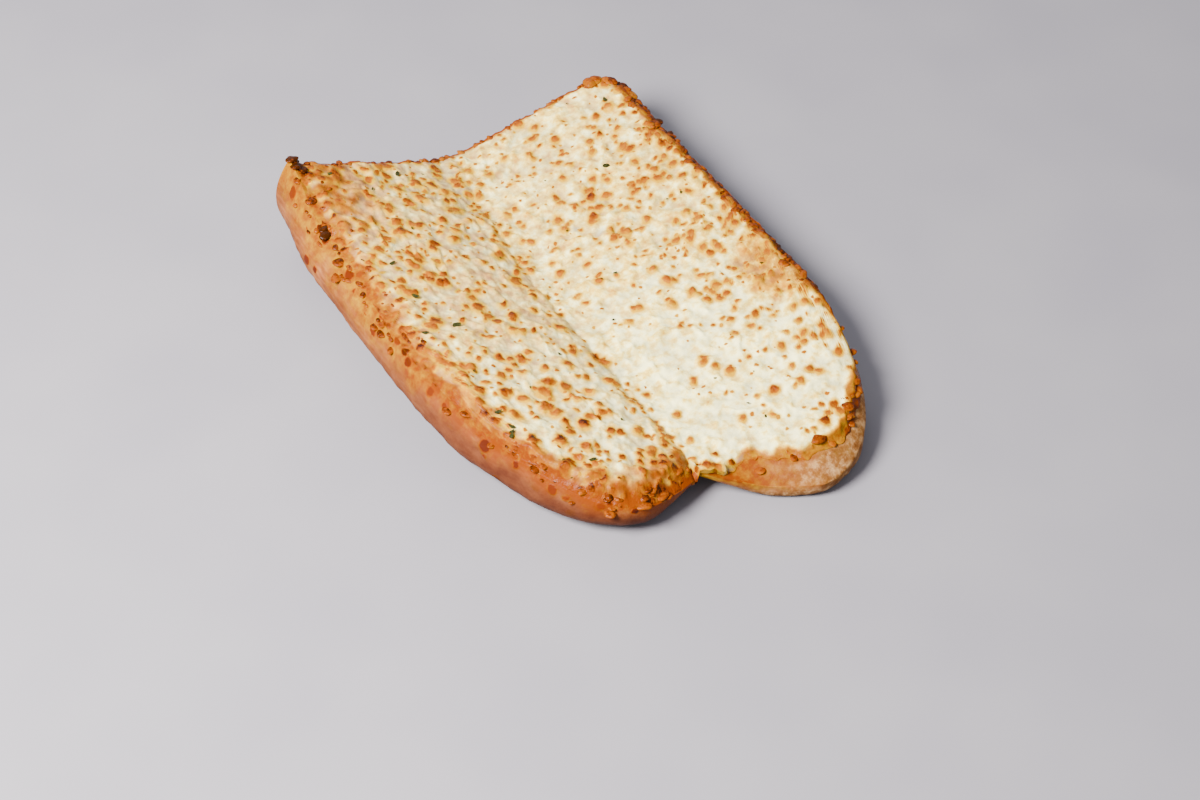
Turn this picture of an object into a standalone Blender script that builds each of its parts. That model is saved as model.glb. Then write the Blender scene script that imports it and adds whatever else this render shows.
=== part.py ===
"""Cheesy garlic bread.

The end half of a long crusty loaf.  It is cut square at one end, split
lengthwise through its side and opened out on the strip of crust that is left
as a hinge.  One sheet of melted, browned cheese covers both cut faces.

The loaf lies along Y: the rounded end, with one lobe for each half, is at -Y
and the square cut is at +Y.  The domed top half of the loaf is the wing at
-X, its flat base half is the wing at +X, and the hinge is the valley between
the two.  +Z is up and the crust rests on z = 0.

Each wing is laid out by two numbers: q runs from the valley (0) to the rim
(1), and y runs from the lobe's end to the square cut.
"""
import math
import random

import bmesh
import bpy
from mathutils import Vector, noise

MM = 0.001
LEFT = -1
RIGHT = 1

# overall sizes, in millimetres
CUT_Y = 203.0            # the square cut
NOTCH_Y = 4.0            # the notch between the lobes
VALLEY_HEIGHT = 10.0     # cut face above the table at the hinge
HINGE_THICKNESS = 7.5    # crust and crumb left at the hinge
CHEESE_THICKNESS = 2.0
CHEESE_GAP = 0.3         # the cheese lies this far above the cut faces
BROW_LIFT = 0.25         # and this share of the brow's drop higher, over the brow
CURL_HEIGHT = 4.5        # upturned tip at the far corner of the domed half
CURL_LENGTH = 33.0
WING_KNEE = 0.8          # q where a wing's flat middle meets its rounded edge
CRUST_ROLL = 20.0        # length over which a lobe's end rounds under
NOTCH_ROLL = 18.0        # how much longer it rounds under at the notch
TABLE_ROUND = 3.0        # how softly the crust curves up from the table

# lengthwise profiles: (y, value) stations joined by smooth curves
VALLEY_X = ((-30, -1.0), (60, -3.0), (110, -4.0), (160, -1.0), (203, 6.0))
RIM_X = {LEFT: ((-10, -71.0), (60, -71.0), (120, -72.0), (170, -70.0), (203, -67.0)),
         RIGHT: ((-30, 84.5), (40, 84.8), (120, 84.0), (203, 81.0))}
RIM_HEIGHT = {LEFT: ((-10, 25.0), (30, 27.0), (100, 30.0), (160, 33.0), (203, 38.0)),
              RIGHT: ((-30, 18.0), (20, 22.5), (80, 25.0), (140, 25.0), (203, 28.0))}
LOAF_DEPTH = {LEFT: ((-10, 16.0), (30, 24.0), (100, 30.0), (203, 34.0)),
              RIGHT: ((-30, 13.0), (40, 24.0), (203, 26.0))}
CRUST_BULGE = {LEFT: ((-10, 0.0), (20, 3.8), (70, 6.0), (110, 6.3), (170, 9.0)),
               RIGHT: ((-20, 0.3), (40, 2.0), (203, 2.0))}

# the crust bulges away from a line inside each wing, which ends inside the lobe
SPINE_X = {LEFT: -28.0, RIGHT: 28.0}
SPINE_END_Y = {LEFT: 70.0, RIGHT: 35.0}
BULGE_START = 8.0        # the bulge grows from this far off the line
BULGE_GROWTH = 25.0
CRUST_WAVES = ((1.0, 24.0), (0.7, 9.0))       # height and size of unevenness
RIM_POWER = 8.0          # how late the wing's underside curves up to the rim
RIM_ROUND = 2.4
END_ROUND = 2.6
CORNER_Q = 0.8           # the far corner of the flat half is rounded from here
CORNER_CUT = 7.0
CUT_SAG = 2.0

# outline of each lobe: the y of its nose, where across the wing the nose is,
# where the curve meets the straight rim, and how round the two sides of the
# nose are
LOBE_NOSE = {LEFT: -3.8, RIGHT: -20.5}
LOBE_NOSE_Q = {LEFT: 0.38, RIGHT: 0.46}
LOBE_SIDE_Y = {LEFT: 95.0, RIGHT: 62.0}
LOBE_INNER_ROUND = {LEFT: 1.3, RIGHT: 1.1}
LOBE_OUTER_ROUND = {LEFT: 1.85, RIGHT: 2.15}
LOBE_DROP = {LEFT: 1.5, RIGHT: 3.0}
LOBE_DROP_LENGTH = 30.0
SHOULDER_HEIGHT = {LEFT: 5.0, RIGHT: 0.5}
SHOULDER_Q = {LEFT: 0.07, RIGHT: 0.10}
SHOULDER_FADE_Y = 150.0  # the shoulder beside the valley fades from here on

# how deep and how far in the baked brow of the rims has rounded down, and the
# bare shelf of the flat half's lobe
BROW_DEPTH = {LEFT: 3.4, RIGHT: 0.8}
BROW_REACH = {LEFT: 12.0, RIGHT: 5.0}
BROW_FADE = 0.7          # share that is lost towards the upturned far corner
BROW_FADE_Y = 165.0
BROW_FADE_LENGTH = 30.0
SHELF_DEPTH = 3.6
SHELF_REACH = 12.0

# bare crust between the cheese and the end of each lobe: (q, length) stations
BARE_CRUST = {LEFT: ((0.0, -1.0), (0.1, 0.5), (1.0, 0.8)),
              RIGHT: ((0.0, -1.0), (0.06, 1.0), (0.24, 11.0), (0.5, 9.5), (0.75, 6.5),
                      (0.92, 1.5), (1.0, 0.5))}

# melted cheese
LUMPS = ((0.55, 15.0), (0.3, 6.0))            # height and size of melted lumps
LOWEST_RELIEF = -0.6
BLISTER_COUNT = 240
BLISTER_SIZE = (2.0, 4.5)
BLISTER_HEIGHT = (0.4, 0.8)
BASE_HALF_BLISTERS = 0.6  # share of blisters kept on the flat half
BEAD_HEIGHT = 1.6        # crisp beads along the outer rims
BEAD_SIZE = 4.5
BEAD_REACH = 6.0
BEAD_START_Y = 20.0      # the domed half's rim has beads from here on
EDGE_COVER = 0.45        # thickness left at the cheese's edge
EDGE_FADE = 5.0
VALLEY_FILL = 0.5        # extra thickness where cheese pooled in the valley
OVERHANG = 0.9
OVERHANG_WAVE = 1.2
OVERHANG_REACH = 4.0
LIP_WAVE = 0.9           # ragged edge above the lobes
CRUMB_DEPTH = 1.6        # holes and tears in the crumb of the square cut
CRUMB_SIZE = 7.0

# cells from the valley to the knee and from the knee to the rim, and along
WING_CELLS = (10, 5)
BREAD_ROWS = 36
BREAD_END_ROWS = 6
CHEESE_ROWS = 30
CHEESE_CUTS = 1          # extra cuts across each cell of the cheese's top
CRUMB_ROWS = 3           # cuts up the wall of crumb at the square end


def ease(t):
    """Smooth step from 0 to 1."""
    t = min(max(t, 0.0), 1.0)
    return t * t * (3.0 - 2.0 * t)


def along(stations, y):
    """Value at y of a profile given by its stations."""
    if y <= stations[0][0]:
        return stations[0][1]
    for (y0, v0), (y1, v1) in zip(stations, stations[1:]):
        if y <= y1:
            return v0 + (v1 - v0) * ease((y - y0) / (y1 - y0))
    return stations[-1][1]


def quarter_round(t, power):
    """Quarter of a rounded square: 0 at t = 0 with a steep start, 1 at t = 1."""
    t = min(max(t, 0.0), 1.0)
    return (1.0 - (1.0 - t) ** power) ** (1.0 / power)


def lobe_end(side, q):
    """The y of the lobe's end at q: from the notch round the nose to the rim."""
    nose_q = LOBE_NOSE_Q[side]
    nose = LOBE_NOSE[side]
    if q < nose_q:
        return NOTCH_Y + (nose - NOTCH_Y) * quarter_round(q / nose_q, LOBE_INNER_ROUND[side])
    back = (q - nose_q) / (1.0 - nose_q)
    rise = 1.0 - quarter_round(1.0 - back, LOBE_OUTER_ROUND[side])
    return nose + (LOBE_SIDE_Y[side] - nose) * rise


def square_cut(side, q):
    """The y of the square cut at q, a little uneven as a knife leaves it."""
    if side == RIGHT:
        corner = max(0.0, (q - CORNER_Q) / (1.0 - CORNER_Q))
        return CUT_Y + 1.0 - CORNER_CUT * corner * corner
    return CUT_Y - CUT_SAG * math.sin(math.pi * q)


def rim_away(side, q, y):
    """Distance across the wing from q to its rim."""
    return (1.0 - q) * abs(along(RIM_X[side], y) - along(VALLEY_X, y))


def brow(side, q, y):
    """How far the baked brow has rounded down at the rim and the lobe's lip."""
    rim = rim_away(side, q, y)
    lip = y - lobe_end(side, q)
    if side == LEFT:
        rim = min(rim, lip)
    down = BROW_DEPTH[side] * max(0.0, 1.0 - rim / BROW_REACH[side]) ** 2
    if side == LEFT:
        return down * (1.0 - BROW_FADE * ease((y - BROW_FADE_Y) / BROW_FADE_LENGTH))
    shelf = SHELF_DEPTH * max(0.0, 1.0 - lip / SHELF_REACH) ** 2 * ease(q / 0.35)
    return max(down, shelf)


def cut_face(side, q, y):
    """Point on the cut face of a wing."""
    fade = ease((y - SHOULDER_FADE_Y) / (CUT_Y - SHOULDER_FADE_Y))
    shoulder = SHOULDER_HEIGHT[side] * (1.0 - 0.7 * fade)
    rim_height = along(RIM_HEIGHT[side], y)
    z = VALLEY_HEIGHT + shoulder * (1.0 - math.exp(-q / SHOULDER_Q[side]))
    z += (rim_height - VALLEY_HEIGHT - shoulder) * q
    near = min(max(1.0 - (y - lobe_end(side, q)) / LOBE_DROP_LENGTH, 0.0), 1.0)
    z -= LOBE_DROP[side] * near * near * ease(q / 0.25)
    if side == LEFT and y > CUT_Y - CURL_LENGTH:
        curl = 1.0 - (CUT_Y - y) / CURL_LENGTH
        z += CURL_HEIGHT * curl * curl * ease((q - 0.9) / 0.1)
    z -= brow(side, q, y)
    valley = along(VALLEY_X, y)
    x = valley + q * (along(RIM_X[side], y) - valley)
    return Vector((x, y, z))


def settle(height):
    """Height of soft crust that has flattened against the table."""
    if height <= -TABLE_ROUND:
        return 0.0
    if height >= TABLE_ROUND:
        return height
    return (height + TABLE_ROUND) ** 2 / (4.0 * TABLE_ROUND)


def loaf_thickness(side, q, y):
    """Crumb and crust below the cut face, thin at the hinge, nothing at the rim."""
    full = along(LOAF_DEPTH[side], y)
    body = HINGE_THICKNESS + (full - HINGE_THICKNESS) * ease(q / 0.4)
    rim = max(0.0, 1.0 - q ** RIM_POWER) ** (1.0 / RIM_ROUND)
    roll = CRUST_ROLL + NOTCH_ROLL * (1.0 - ease(q / 0.3))
    return body * rim * quarter_round((y - lobe_end(side, q)) / roll, END_ROUND)


def crust(side, q, y):
    """Point on the outside of the loaf, under the cut face at (q, y)."""
    point = cut_face(side, q, y)
    deep = loaf_thickness(side, q, y)
    spine_x = along(VALLEY_X, y) + SPINE_X[side]
    outward = Vector((point.x - spine_x, min(0.0, y - SPINE_END_Y[side])))
    reach = outward.length
    share = min(deep / point.z, 1.0)
    swell = along(CRUST_BULGE[side], y) * math.sin(0.9 * math.pi * share)
    for height, size in CRUST_WAVES:
        swell += height * share * noise.noise(Vector((point.x, y, size * side)) / size)
    swell *= ease((reach - BULGE_START) / BULGE_GROWTH) * ease((q - 0.05) / 0.35)
    outward.normalize()
    z = settle(point.z - deep)
    return Vector((point.x + swell * outward.x, y + swell * outward.y, z))


def across(share):
    """q of the cell line at this share of the way from valley to rim."""
    knee = WING_CELLS[0] / sum(WING_CELLS)
    if share <= knee:
        return WING_KNEE * share / knee
    edge = math.sin(0.5 * math.pi * (share - knee) / (1.0 - knee))
    return WING_KNEE + (1.0 - WING_KNEE) * edge


def slab(rows):
    """A closed slab of cells: u in x, t in y, and 0 below or 1 above in z."""
    bm = bmesh.new()
    bmesh.ops.create_grid(bm, x_segments=2 * sum(WING_CELLS), y_segments=rows, size=1.0)
    lifted = bmesh.ops.extrude_face_region(bm, geom=bm.faces[:], use_keep_orig=True)
    above = [item for item in lifted["geom"] if isinstance(item, bmesh.types.BMVert)]
    bmesh.ops.translate(bm, verts=above, vec=Vector((0.0, 0.0, 1.0)))
    bmesh.ops.recalc_face_normals(bm, faces=bm.faces)
    return bm


def bread_row(side, q, t, rounded):
    """The y of a row of the bread, with rows drawn together at the lobe's end."""
    start = lobe_end(side, q)
    roll = min(CRUST_ROLL, 0.5 * (CUT_Y - start))
    end_share = BREAD_END_ROWS / BREAD_ROWS
    if t <= end_share:
        step = t / end_share
        if rounded:
            step = 1.0 - math.cos(0.5 * math.pi * step)
        return start + roll * step
    rest = (t - end_share) / (1.0 - end_share)
    return start + roll + (square_cut(side, q) - start - roll) * rest


def crumb_dent(point):
    """How far the torn crumb stands out of or into the square cut."""
    return CRUMB_DEPTH * noise.noise(Vector((point.x, 0.0, point.z)) / CRUMB_SIZE)


def make_bread():
    bm = slab(BREAD_ROWS)
    wall = [edge for edge in bm.edges
            if edge.verts[0].co.z != edge.verts[1].co.z
            and min(edge.verts[0].co.y, edge.verts[1].co.y) > 0.999]
    bmesh.ops.subdivide_edges(bm, edges=wall, cuts=CRUMB_ROWS, use_grid_fill=True)
    for vert in bm.verts:
        u, v, level = vert.co
        side = LEFT if u < 0.0 else RIGHT
        t = 0.5 * (v + 1.0)
        q = across(abs(u))
        top = cut_face(side, q, bread_row(side, q, t, False))
        low = crust(side, q, bread_row(side, q, t, True))
        point = low.lerp(top, level)
        if 0.01 < level < 0.99 and abs(u) < 0.95:
            point.y += crumb_dent(point)
        vert.co = point * MM
    bmesh.ops.remove_doubles(bm, verts=bm.verts, dist=0.00005)
    return bm


def cheese_blisters():
    """Centres, radii and heights of the blisters that browned."""
    draw = random.Random(41)
    blisters = []
    while len(blisters) < BLISTER_COUNT:
        x = draw.uniform(RIM_X[LEFT][0][1], RIM_X[RIGHT][0][1])
        y = draw.uniform(LOBE_NOSE[RIGHT], CUT_Y)
        if x < 0.0 or draw.random() < BASE_HALF_BLISTERS:
            size = draw.uniform(*BLISTER_SIZE)
            blisters.append((x, y, size, draw.uniform(*BLISTER_HEIGHT)))
    return blisters


def cheese_relief(side, q, point, blisters):
    """Height of the melted surface above its even thickness."""
    spot = Vector((point.x, point.y, 0.0))
    height = sum(rise * noise.noise(spot / size) for rise, size in LUMPS)
    for x, y, size, rise in blisters:
        away = (point.x - x) ** 2 + (point.y - y) ** 2
        if away < 4.0 * size * size:
            height += rise * math.exp(-2.5 * away / (size * size))
    if side == RIGHT or point.y > BEAD_START_Y:
        beads = max(0.0, 0.35 + noise.noise(spot / BEAD_SIZE))
        height += BEAD_HEIGHT * beads * ease(1.0 - rim_away(side, q, point.y) / BEAD_REACH)
    return max(height, LOWEST_RELIEF)


def make_cheese():
    bm = slab(CHEESE_ROWS)
    above = [edge for edge in bm.edges if min(v.co.z for v in edge.verts) > 0.5]
    bmesh.ops.subdivide_edges(bm, edges=above, cuts=CHEESE_CUTS, use_grid_fill=True)
    blisters = cheese_blisters()
    for vert in bm.verts:
        u, v, level = vert.co
        side = LEFT if u < 0.0 else RIGHT
        q = across(abs(u))
        start = lobe_end(side, q) + along(BARE_CRUST[side], q)
        t = 0.5 * (v + 1.0)
        y = start + (square_cut(side, q) - start) * t
        point = cut_face(side, q, y)
        point.z += CHEESE_GAP + BROW_LIFT * brow(side, q, y)
        if level > 0.5:
            rim = rim_away(side, q, y)
            edge = min(rim, y - start, CUT_Y - y)
            cover = EDGE_COVER + (1.0 - EDGE_COVER) * ease(edge / EDGE_FADE)
            pool = 1.0 + VALLEY_FILL * math.exp(-((q / 0.1) ** 2))
            point.z += CHEESE_THICKNESS * cover * pool
            point.z += cheese_relief(side, q, point, blisters)
            wave = noise.noise(point / BEAD_SIZE)
            hang = ease(1.0 - rim / OVERHANG_REACH)
            point.x += side * hang * (OVERHANG + OVERHANG_WAVE * wave)
            if y == start:
                point.y += LIP_WAVE * (wave - 0.5)
        vert.co = point * MM
    return bm


def linear(channel):
    """Linear value of an 8-bit screen colour channel."""
    value = channel / 255.0
    if value <= 0.04045:
        return value / 12.92
    return ((value + 0.055) / 1.055) ** 2.4


def material(name, colour, roughness):
    """A food surface: colour as 8-bit screen values, and roughness."""
    mat = bpy.data.materials.new(name)
    mat.use_nodes = True
    shader = mat.node_tree.nodes["Principled BSDF"]
    shader.inputs["Base Color"].default_value = [linear(c) for c in colour] + [1.0]
    shader.inputs["Roughness"].default_value = roughness
    shader.inputs["Metallic"].default_value = 0.0
    return mat


def finish(name, bm, mat):
    """Turns the modelled surface into a named object, shaded smooth."""
    bmesh.ops.recalc_face_normals(bm, faces=bm.faces)
    mesh = bpy.data.meshes.new(name)
    bm.to_mesh(mesh)
    bm.free()
    mesh.materials.append(mat)
    mesh.shade_smooth()
    mesh.set_sharp_from_angle(angle=math.radians(50.0))
    piece = bpy.data.objects.new(name, mesh)
    bpy.context.scene.collection.objects.link(piece)
    return piece


def stand_on_origin(pieces):
    """Moves the pieces so that the middle of their footprint is at the origin."""
    points = [vert.co for piece in pieces for vert in piece.data.vertices]
    low = Vector([min(p[axis] for p in points) for axis in range(3)])
    high = Vector([max(p[axis] for p in points) for axis in range(3)])
    shift = Vector((-0.5 * (low.x + high.x), -0.5 * (low.y + high.y), -low.z))
    for piece in pieces:
        for vert in piece.data.vertices:
            vert.co += shift


def build():
    for old in list(bpy.data.objects):
        bpy.data.objects.remove(old, do_unlink=True)
    baked_crust = material("baked_crust", (206, 140, 84), 0.62)
    melted_cheese = material("melted_cheese", (232, 222, 190), 0.38)
    bread = finish("bread", make_bread(), baked_crust)
    cheese = finish("cheese", make_cheese(), melted_cheese)
    stand_on_origin((bread, cheese))


build()
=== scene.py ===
"""Dresses the cheesy garlic bread.

The end half of a crusty loaf, split and opened on its hinge, under one sheet
of melted, browned cheese.  Four pieces are made here: the baked loaf with its
crust and crumb, the melted cheese, the crisp beads that the cheese dried to
along the rims, and the flecks of dried herb.

Sizes are in millimetres.  The loaf is laid out as its solids are: y runs from
the notch at the rounded end to the square cut, and q runs across each wing
from the valley (0) to the rim (1).
"""
import math
import random

import bmesh
import bpy
import numpy as np
from mathutils import Matrix, Vector, noise


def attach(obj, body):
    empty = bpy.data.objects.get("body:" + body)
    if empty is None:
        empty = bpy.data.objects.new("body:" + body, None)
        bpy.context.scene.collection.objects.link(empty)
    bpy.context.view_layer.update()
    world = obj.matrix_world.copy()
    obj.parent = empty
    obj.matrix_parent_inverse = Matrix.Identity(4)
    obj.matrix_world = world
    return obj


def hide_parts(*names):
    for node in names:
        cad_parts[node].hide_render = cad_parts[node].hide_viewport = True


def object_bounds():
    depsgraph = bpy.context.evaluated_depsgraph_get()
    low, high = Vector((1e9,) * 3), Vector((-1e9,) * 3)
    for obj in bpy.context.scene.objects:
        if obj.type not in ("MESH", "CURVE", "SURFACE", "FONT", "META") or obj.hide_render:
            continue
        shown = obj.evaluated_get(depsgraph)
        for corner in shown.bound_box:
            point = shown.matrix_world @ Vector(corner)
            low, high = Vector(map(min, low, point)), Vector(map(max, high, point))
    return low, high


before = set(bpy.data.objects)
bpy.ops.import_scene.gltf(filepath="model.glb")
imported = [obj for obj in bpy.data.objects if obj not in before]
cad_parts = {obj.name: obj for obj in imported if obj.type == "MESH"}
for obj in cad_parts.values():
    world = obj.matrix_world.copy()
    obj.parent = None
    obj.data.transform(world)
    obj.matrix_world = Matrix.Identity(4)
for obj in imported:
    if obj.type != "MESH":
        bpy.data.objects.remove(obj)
CAD_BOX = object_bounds()

MM = 0.001
LEFT = -1
RIGHT = 1
ORIGIN_SHIFT = Vector((-4.3136, -92.2321, 0.0))   # from the notch to the footprint's middle

# the loaf, as its solids have it
CUT_Y = 203.0
VALLEY_HEIGHT = 10.0
HINGE_THICKNESS = 7.5
CHEESE_THICKNESS = 2.0
CHEESE_GAP = 0.3
CURL_HEIGHT = 4.5
CURL_LENGTH = 33.0
WING_KNEE = 0.8
CRUST_ROLL = 20.0
NOTCH_ROLL = 18.0
TABLE_ROUND = 3.0
VALLEY_X = ((-30, -1.0), (60, -3.0), (110, -4.0), (160, -1.0), (203, 6.0))
RIM_X = {LEFT: ((-10, -71.0), (60, -71.0), (120, -72.0), (170, -70.0), (203, -67.0)),
         RIGHT: ((-30, 84.5), (40, 84.8), (120, 84.0), (203, 81.0))}
RIM_HEIGHT = {LEFT: ((-10, 25.0), (30, 27.0), (100, 30.0), (160, 33.0), (203, 38.0)),
              RIGHT: ((-30, 18.0), (20, 22.5), (80, 25.0), (140, 25.0), (203, 28.0))}
LOAF_DEPTH = {LEFT: ((-10, 16.0), (30, 24.0), (100, 30.0), (203, 34.0)),
              RIGHT: ((-30, 13.0), (40, 24.0), (203, 26.0))}
CRUST_BULGE = {LEFT: ((-10, 0.0), (20, 3.8), (70, 6.0), (110, 6.3), (170, 9.0)),
               RIGHT: ((-20, 0.3), (40, 2.0), (203, 2.0))}
SPINE_X = {LEFT: -28.0, RIGHT: 28.0}
SPINE_END_Y = {LEFT: 70.0, RIGHT: 35.0}
BULGE_START = 8.0
BULGE_GROWTH = 25.0
CRUST_WAVES = ((1.0, 24.0), (0.7, 9.0))
RIM_POWER = 8.0
RIM_ROUND = 2.4
END_ROUND = 2.6
CORNER_Q = 0.8
CORNER_CUT = 7.0
CUT_SAG = 2.0
NOTCH_Y = 4.0
LOBE_NOSE = {LEFT: -3.8, RIGHT: -20.5}
LOBE_NOSE_Q = {LEFT: 0.38, RIGHT: 0.46}
LOBE_SIDE_Y = {LEFT: 95.0, RIGHT: 62.0}
LOBE_INNER_ROUND = {LEFT: 1.3, RIGHT: 1.1}
LOBE_OUTER_ROUND = {LEFT: 1.85, RIGHT: 2.15}
LOBE_DROP = {LEFT: 1.5, RIGHT: 3.0}
LOBE_DROP_LENGTH = 30.0
SHOULDER_HEIGHT = {LEFT: 5.0, RIGHT: 0.5}
SHOULDER_Q = {LEFT: 0.07, RIGHT: 0.10}
SHOULDER_FADE = 0.7
SHOULDER_FADE_Y = 150.0
BARE_CRUST = {LEFT: ((0.0, -1.0), (0.1, 0.5), (1.0, 0.8)),
              RIGHT: ((0.0, -1.0), (0.06, 1.0), (0.24, 11.0), (0.5, 9.5), (0.75, 6.5),
                      (0.92, 1.5), (1.0, 0.5))}

# cells of the fine surfaces: across a wing to the knee, across its edge, along
BREAD_CELLS = (34, 44)
BREAD_ROWS = 216
BREAD_END_ROWS = 36
CRUMB_ROWS = 26
CHEESE_CELLS = (26, 7)
CHEESE_ROWS = 78
CHEESE_CUTS = 3

# soft forms that the solids leave out
BROW_DEPTH = {LEFT: 3.4, RIGHT: 0.8}
BROW_REACH = {LEFT: 12.0, RIGHT: 5.0}
SHELF_DEPTH = 3.6
SHELF_REACH = 12.0
BROW_FADE = 0.7
CREASE_FILL = 2.0
CREASE_UNEVEN = 0.9
CREASE_SWAY = 1.6
CREASE_REACH = 5.2
CREASE_ROUND = 1.0
CRUST_WALL = 0.7


def ease(t):
    """Smooth step from 0 to 1."""
    t = min(max(t, 0.0), 1.0)
    return t * t * (3.0 - 2.0 * t)


def along(stations, y):
    """Value at y of a profile given by its stations."""
    if y <= stations[0][0]:
        return stations[0][1]
    for (y0, v0), (y1, v1) in zip(stations, stations[1:]):
        if y <= y1:
            return v0 + (v1 - v0) * ease((y - y0) / (y1 - y0))
    return stations[-1][1]


def wing_width(side, y):
    """Distance in plan from the valley to the rim at y."""
    return abs(along(RIM_X[side], y) - along(VALLEY_X, y))


def quarter_round(t, power):
    """Quarter of a rounded square: steep from 0, level at 1."""
    t = min(max(t, 0.0), 1.0)
    return (1.0 - (1.0 - t) ** power) ** (1.0 / power)


def lobe_end(side, q):
    """The y of the lobe's end at q."""
    nose_q = LOBE_NOSE_Q[side]
    nose = LOBE_NOSE[side]
    if q < nose_q:
        return NOTCH_Y + (nose - NOTCH_Y) * quarter_round(q / nose_q, LOBE_INNER_ROUND[side])
    back = (q - nose_q) / (1.0 - nose_q)
    rise = 1.0 - quarter_round(1.0 - back, LOBE_OUTER_ROUND[side])
    return nose + (LOBE_SIDE_Y[side] - nose) * rise


def square_cut(side, q):
    """The y of the square cut at q."""
    if side == RIGHT:
        corner = max(0.0, (q - CORNER_Q) / (1.0 - CORNER_Q))
        return CUT_Y + 1.0 - CORNER_CUT * corner * corner
    return CUT_Y - CUT_SAG * math.sin(math.pi * q)


def cut_face(side, q, y):
    """Point on the cut face of a wing."""
    fade = ease((y - SHOULDER_FADE_Y) / (CUT_Y - SHOULDER_FADE_Y))
    shoulder = SHOULDER_HEIGHT[side] * (1.0 - SHOULDER_FADE * fade)
    z = VALLEY_HEIGHT + shoulder * (1.0 - math.exp(-q / SHOULDER_Q[side]))
    z += (along(RIM_HEIGHT[side], y) - VALLEY_HEIGHT - shoulder) * q
    near = min(max(1.0 - (y - lobe_end(side, q)) / LOBE_DROP_LENGTH, 0.0), 1.0)
    z -= LOBE_DROP[side] * near * near * ease(q / 0.25)
    if side == LEFT and y > CUT_Y - CURL_LENGTH:
        curl = 1.0 - (CUT_Y - y) / CURL_LENGTH
        z += CURL_HEIGHT * curl * curl * ease((q - 0.9) / 0.1)
    valley = along(VALLEY_X, y)
    return Vector((valley + q * (along(RIM_X[side], y) - valley), y, z))


def brow(side, q, y):
    """How far the baked shoulder has rounded down at the rim."""
    rim = (1.0 - q) * wing_width(side, y)
    lip = y - lobe_end(side, q)
    if side == LEFT:
        rim = min(rim, lip)
    down = BROW_DEPTH[side] * max(0.0, 1.0 - rim / BROW_REACH[side]) ** 2
    if side == LEFT:
        return down * (1.0 - BROW_FADE * ease((y - 165.0) / 30.0))
    shelf = SHELF_DEPTH * max(0.0, 1.0 - lip / SHELF_REACH) ** 2 * ease(q / 0.35)
    return max(down, shelf)


def soft_face(side, q, y):
    """The cut face with its rounded shoulder and its filled crease."""
    point = cut_face(side, q, y)
    fold = CREASE_ROUND / wing_width(side, y)
    point.z = cut_face(side, math.hypot(q, fold) - fold, y).z - brow(side, q, y)
    middle = q * wing_width(side, y) / CREASE_REACH
    if middle < 3.0:
        fill = CREASE_FILL + CREASE_UNEVEN * noise.noise(Vector((0.0, y / 8.0, 4.0)))
        sway = CREASE_SWAY * noise.noise(Vector((3.0, y / 11.0, 0.0)))
        point.z += fill * math.exp(-middle * middle)
        point.x += sway * math.exp(-0.25 * middle * middle)
    return point


def settle(height):
    """Height of soft crust that has flattened against the table."""
    if height <= -TABLE_ROUND:
        return 0.0
    if height >= TABLE_ROUND:
        return height
    return (height + TABLE_ROUND) ** 2 / (4.0 * TABLE_ROUND)


def loaf_thickness(side, q, y):
    """Crumb and crust below the cut face."""
    full = along(LOAF_DEPTH[side], y)
    body = HINGE_THICKNESS + (full - HINGE_THICKNESS) * ease(q / 0.4)
    rim = max(0.0, 1.0 - q ** RIM_POWER) ** (1.0 / RIM_ROUND)
    roll = CRUST_ROLL + NOTCH_ROLL * (1.0 - ease(q / 0.3))
    return body * rim * quarter_round((y - lobe_end(side, q)) / roll, END_ROUND)


def crust(side, q, y, fine=0.0):
    """Point on the outside of the loaf under (q, y), standing out by fine."""
    point = soft_face(side, q, y)
    deep = loaf_thickness(side, q, y)
    spine_x = along(VALLEY_X, y) + SPINE_X[side]
    outward = Vector((point.x - spine_x, min(0.0, y - SPINE_END_Y[side])))
    reach = outward.length
    share = min(deep / point.z, 1.0)
    swell = along(CRUST_BULGE[side], y) * math.sin(0.9 * math.pi * share)
    for height, size in CRUST_WAVES:
        swell += height * share * noise.noise(Vector((point.x, y, size * side)) / size)
    swell += fine * ease(share / 0.08)
    swell *= ease((reach - BULGE_START) / BULGE_GROWTH) * ease((q - 0.05) / 0.35)
    outward.normalize()
    z = settle(point.z - deep)
    return Vector((point.x + swell * outward.x, y + swell * outward.y, z))


def across(share, cells):
    """q of the cell line at this share of the way from valley to rim."""
    knee = cells[0] / sum(cells)
    if share <= knee:
        return WING_KNEE * share / knee
    edge = (share - knee) / (1.0 - knee)
    edge = 0.85 * math.sin(0.5 * math.pi * edge) + 0.15 * edge
    return WING_KNEE + (1.0 - WING_KNEE) * edge


def slab(cells, rows):
    """A closed slab of cells: u in x, t in y, and 0 below or 1 above in z."""
    bm = bmesh.new()
    bmesh.ops.create_grid(bm, x_segments=2 * sum(cells), y_segments=rows, size=1.0)
    lifted = bmesh.ops.extrude_face_region(bm, geom=bm.faces[:], use_keep_orig=True)
    above = [item for item in lifted["geom"] if isinstance(item, bmesh.types.BMVert)]
    bmesh.ops.translate(bm, verts=above, vec=Vector((0.0, 0.0, 1.0)))
    bmesh.ops.recalc_face_normals(bm, faces=bm.faces)
    return bm


def weld(bm, distance, layers):
    """Merges points that meet and keeps the least of their values, the same in each run."""
    groups = {}
    doubles = bmesh.ops.find_doubles(bm, verts=bm.verts, dist=distance)["targetmap"]
    for spare, met in doubles.items():
        groups.setdefault(met, [met]).append(spare)
    merged = {}
    for group in groups.values():
        chosen = min(group, key=lambda vert: [vert[layer] for layer in layers])
        merged.update({vert: chosen for vert in group if vert != chosen})
    bmesh.ops.weld_verts(bm, targetmap=merged)


def ripple(point, *waves):
    """Sum of soft noise: (height, size, offset) for each wave."""
    return sum(height * noise.noise(point / size + Vector((0.0, 0.0, shift)))
               for height, size, shift in waves)


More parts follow.
